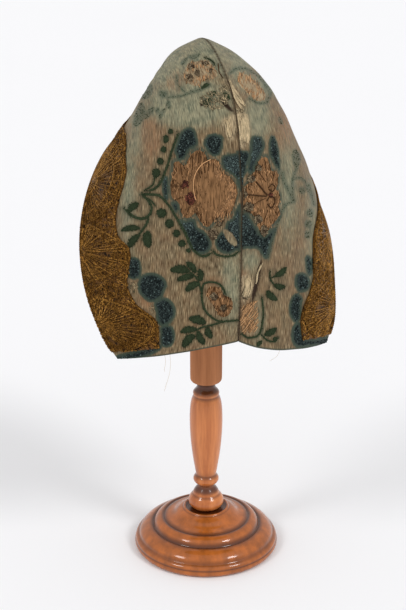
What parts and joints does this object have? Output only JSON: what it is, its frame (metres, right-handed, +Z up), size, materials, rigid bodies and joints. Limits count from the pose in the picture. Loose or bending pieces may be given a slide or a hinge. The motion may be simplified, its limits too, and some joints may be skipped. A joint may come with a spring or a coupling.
{
  "type": "embroidered bonnet on turned wooden stand",
  "caption": "Keeled bonnet of embroidered silk halves joined by a centre-back seam, gold lace round its face opening, hung on a turned wooden stand with a round foot.",
  "frame": {"origin": "centre of the stand's underside, on the surface that it stands on", "axes": "+Z up along the stand, +Y towards the wearer's face side, where the bonnet opens, +X to the wearer's right; the centre-back seam faces -Y"},
  "size_m": [0.203, 0.1603, 0.4277],
  "materials": {
    "silk": "worn grey-beige figured silk with green, brown and blue embroidery",
    "gold_lace": "tarnished gold metal-thread lace",
    "varnished_wood": "glossy varnish over orange-brown turned wood",
    "pale_wood": "matt pinkish-brown wood with straight grain"
  },
  "bodies": {
    "root": {"panel_left": "silk", "panel_right": "silk", "lace_left": "gold_lace", "lace_right": "gold_lace", "stand_base": "varnished_wood", "stand_stem": "varnished_wood", "stand_column": "pale_wood"}
  },
  "joints": []
}
